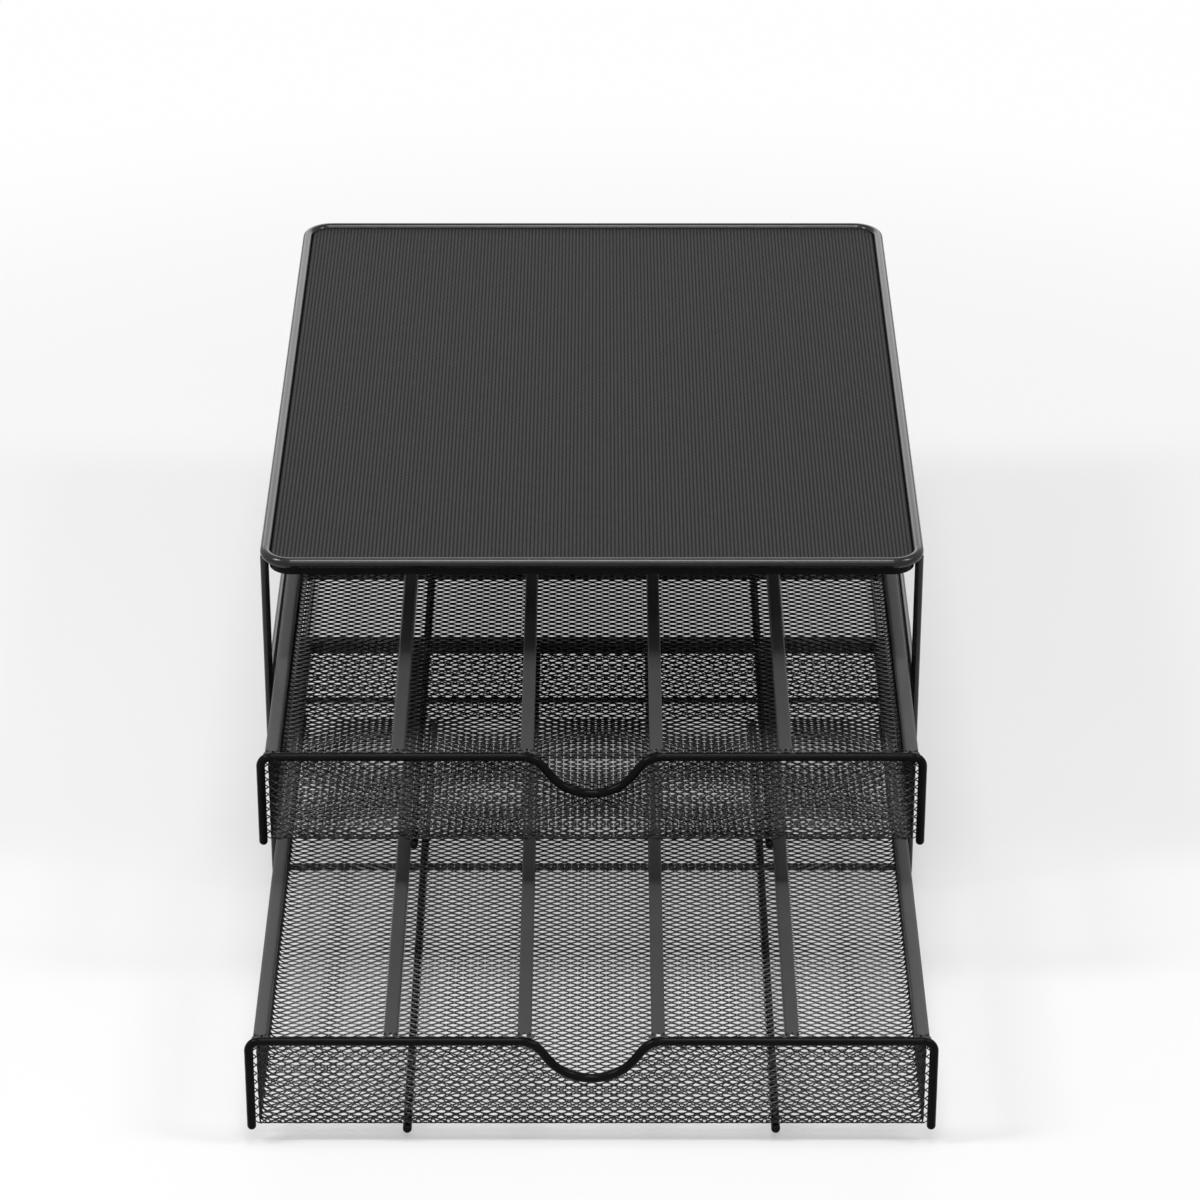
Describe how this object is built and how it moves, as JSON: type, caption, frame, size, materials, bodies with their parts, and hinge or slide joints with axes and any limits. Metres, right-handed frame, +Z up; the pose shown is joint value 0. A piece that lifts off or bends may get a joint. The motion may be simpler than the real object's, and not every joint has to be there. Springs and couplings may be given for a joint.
{
  "type": "coffee pod drawer",
  "caption": "Two-tier wire cabinet with mesh drawers for coffee pods and a mat-topped shelf that carries a coffee machine.",
  "frame": {"origin": "on the table under the middle of the object's box, with the drawers part-open as at rest", "axes": "+Z up, +Y from the drawers' fronts to the back of the cabinet, +X to the right seen from the front"},
  "size_m": [0.312, 0.5924, 0.188],
  "materials": {
    "frame_wire": "gloss black powder coat",
    "sheet": "gloss black powder coat",
    "mat": "matt, woven grip texture",
    "foot": "matt",
    "drawer_wire": "gloss black powder coat",
    "mesh": "gloss black powder coat",
    "channel": "gloss black powder coat"
  },
  "bodies": {
    "cabinet": {"shelf_rim": "frame_wire", "left_side_frame": "frame_wire", "right_side_frame": "frame_wire", "upper_left_rail": "frame_wire", "upper_right_rail": "frame_wire", "lower_left_rail": "frame_wire", "lower_right_rail": "frame_wire", "upper_front_cross_wire": "frame_wire", "upper_cradle": "frame_wire", "upper_back_cross_wire": "frame_wire", "lower_front_cross_wire": "frame_wire", "lower_middle_cross_wire": "frame_wire", "lower_back_cross_wire": "frame_wire", "upper_stop_wire": "frame_wire", "lower_stop_wire": "frame_wire", "shelf_support_1": "frame_wire", "shelf_support_2": "frame_wire", "shelf_support_3": "frame_wire", "shelf_support_4": "frame_wire", "shelf_support_5": "frame_wire", "shelf_pan": "sheet", "shelf_mat": "mat", "front_left_foot": "foot", "front_right_foot": "foot", "back_left_foot": "foot", "back_right_foot": "foot"},
    "upper_drawer": {"upper_front_wire": "drawer_wire", "upper_left_runner": "drawer_wire", "upper_right_runner": "drawer_wire", "upper_front_mesh": "mesh", "upper_floor_mesh": "mesh", "upper_left_mesh": "mesh", "upper_right_mesh": "mesh", "upper_back_mesh": "mesh", "upper_left_edge": "channel", "upper_right_edge": "channel", "upper_back_edge": "channel", "upper_divider_1": "channel", "upper_divider_2": "channel", "upper_divider_3": "channel", "upper_divider_4": "channel"},
    "lower_drawer": {"lower_front_wire": "drawer_wire", "lower_left_runner": "drawer_wire", "lower_right_runner": "drawer_wire", "lower_front_mesh": "mesh", "lower_floor_mesh": "mesh", "lower_left_mesh": "mesh", "lower_right_mesh": "mesh", "lower_back_mesh": "mesh", "lower_left_edge": "channel", "lower_right_edge": "channel", "lower_back_edge": "channel", "lower_divider_1": "channel", "lower_divider_2": "channel", "lower_divider_3": "channel", "lower_divider_4": "channel"}
  },
  "joints": [
    {"name": "upper_drawer_slide", "type": "slide", "parent": "cabinet", "child": "upper_drawer", "axis": [0, -1, 0], "range_m": [-0.086, 0.089]},
    {"name": "lower_drawer_slide", "type": "slide", "parent": "cabinet", "child": "lower_drawer", "axis": [0, -1, 0], "range_m": [-0.208, 0.092]}
  ]
}
